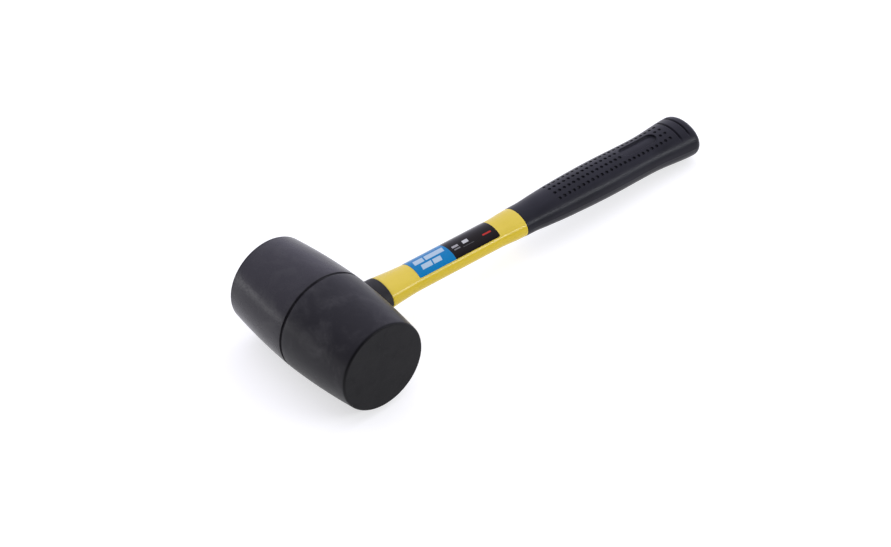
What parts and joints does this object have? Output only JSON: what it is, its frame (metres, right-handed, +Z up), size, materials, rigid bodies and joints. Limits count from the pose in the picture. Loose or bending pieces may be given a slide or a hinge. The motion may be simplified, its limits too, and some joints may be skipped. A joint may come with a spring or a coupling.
{
  "type": "rubber mallet",
  "caption": "Rubber mallet: barrel-shaped black rubber head on an oval yellow plastic-jacketed fibreglass handle, with a dimpled, flared black rubber grip.",
  "frame": {"origin": "on the ground, under the middle of the whole tool, which lies on the head and on the butt of the grip", "axes": "+X along the tool towards the butt of the grip, Y along the head from face to face, +Z up. The handle itself runs 3.9 degrees down from +X."},
  "size_m": [0.346, 0.115, 0.0692],
  "materials": {
    "head_rubber": "satin, with a faint grey bloom",
    "collar_rubber": "dull",
    "epoxy": "cured adhesive, hidden in the eye",
    "fibreglass": "pultruded rod, hidden in the jacket",
    "jacket_plastic": "glossy yellow moulded plastic",
    "label_film": "printed film, one blue and one black panel, without lettering",
    "grip_rubber": "satin moulded thermoplastic rubber"
  },
  "bodies": {
    "root": {"rubber_head": "head_rubber", "neck_collar": "collar_rubber", "epoxy_bond": "epoxy", "fibreglass_core": "fibreglass", "shaft_jacket": "jacket_plastic", "label": "label_film", "grip_sleeve": "grip_rubber"}
  },
  "joints": []
}
